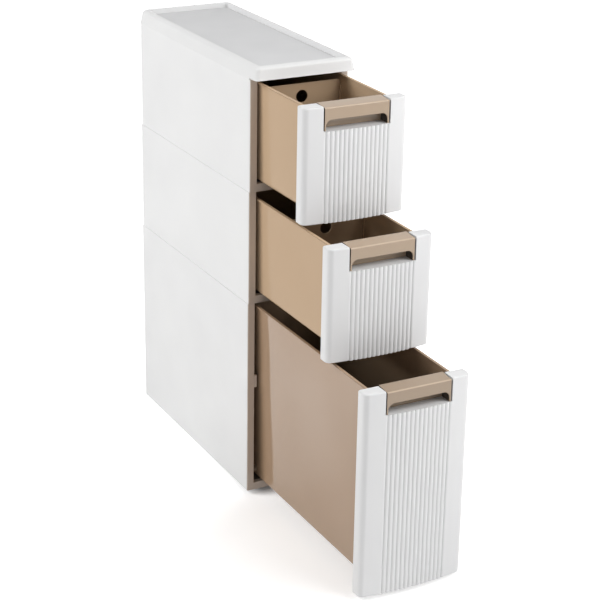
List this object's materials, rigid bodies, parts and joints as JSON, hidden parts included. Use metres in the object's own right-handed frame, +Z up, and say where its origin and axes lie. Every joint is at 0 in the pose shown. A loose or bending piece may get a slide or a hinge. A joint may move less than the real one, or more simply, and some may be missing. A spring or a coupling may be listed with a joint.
{
  "type": "rolling storage cart",
  "caption": "Slim upright storage cart with stacked casing tiers, bowed reeded drawer fronts with hooded grips, removable dividers, a rimmed top tray and small fixed wheels.",
  "frame": {"origin": "on the floor, under the middle of the casing's bottom outline, midway between the four wheels", "axes": "+X to the right of someone who faces the drawers, -Y towards that person, along which the drawers open, +Z up"},
  "size_m": [0.198, 0.905, 0.8145],
  "materials": {
    "white_shell": "satin white moulded plastic",
    "taupe_frame": "satin taupe moulded plastic",
    "taupe_drawer": "glossy taupe moulded plastic",
    "grey_mat": "fine-grained pale grey sheet",
    "wheel_plastic": "grey nylon",
    "axle_steel": "plain steel pin"
  },
  "bodies": {
    "casing": {"top_cover": "white_shell", "top_mat": "grey_mat", "bottom_left_panel": "white_shell", "bottom_right_panel": "white_shell", "bottom_back_panel": "white_shell", "bottom_front_frame": "taupe_frame", "middle_left_panel": "white_shell", "middle_right_panel": "white_shell", "middle_back_panel": "white_shell", "middle_front_frame": "taupe_frame", "top_left_panel": "white_shell", "top_right_panel": "white_shell", "top_back_panel": "white_shell", "top_front_frame": "taupe_frame", "middle_shelf": "taupe_frame", "top_shelf": "taupe_frame", "base_tray": "taupe_frame", "guide_clips": "taupe_frame", "front_left_bracket": "taupe_frame", "front_right_bracket": "taupe_frame", "rear_left_bracket": "taupe_frame", "rear_right_bracket": "taupe_frame", "wheel_axles": "axle_steel"},
    "bottom_drawer": {"bottom_drawer_box": "taupe_drawer", "bottom_drawer_front": "white_shell", "bottom_drawer_grip": "taupe_frame"},
    "middle_drawer": {"middle_drawer_box": "taupe_drawer", "middle_drawer_front": "white_shell", "middle_drawer_grip": "taupe_frame", "middle_drawer_divider": "taupe_drawer"},
    "top_drawer": {"top_drawer_box": "taupe_drawer", "top_drawer_front": "white_shell", "top_drawer_grip": "taupe_frame", "top_drawer_divider": "taupe_drawer"},
    "front_left_wheel_body": {"front_left_wheel": "wheel_plastic"},
    "front_right_wheel_body": {"front_right_wheel": "wheel_plastic"},
    "rear_left_wheel_body": {"rear_left_wheel": "wheel_plastic"},
    "rear_right_wheel_body": {"rear_right_wheel": "wheel_plastic"}
  },
  "joints": [
    {"name": "bottom_drawer_slide", "type": "slide", "parent": "casing", "child": "bottom_drawer", "axis": [0, -1, 0], "range_m": [-0.3995, 0.012]},
    {"name": "middle_drawer_slide", "type": "slide", "parent": "casing", "child": "middle_drawer", "axis": [0, -1, 0], "range_m": [-0.2705, 0.141]},
    {"name": "top_drawer_slide", "type": "slide", "parent": "casing", "child": "top_drawer", "axis": [0, -1, 0], "range_m": [-0.1745, 0.237]},
    {"name": "front_left_wheel_spin", "type": "hinge", "parent": "casing", "child": "front_left_wheel_body", "pos_m": [-0.082, -0.158, 0.015], "axis": [1, 0, 0], "continuous": true},
    {"name": "front_right_wheel_spin", "type": "hinge", "parent": "casing", "child": "front_right_wheel_body", "pos_m": [0.082, -0.158, 0.015], "axis": [1, 0, 0], "continuous": true},
    {"name": "rear_left_wheel_spin", "type": "hinge", "parent": "casing", "child": "rear_left_wheel_body", "pos_m": [-0.082, 0.158, 0.015], "axis": [1, 0, 0], "continuous": true},
    {"name": "rear_right_wheel_spin", "type": "hinge", "parent": "casing", "child": "rear_right_wheel_body", "pos_m": [0.082, 0.158, 0.015], "axis": [1, 0, 0], "continuous": true}
  ]
}
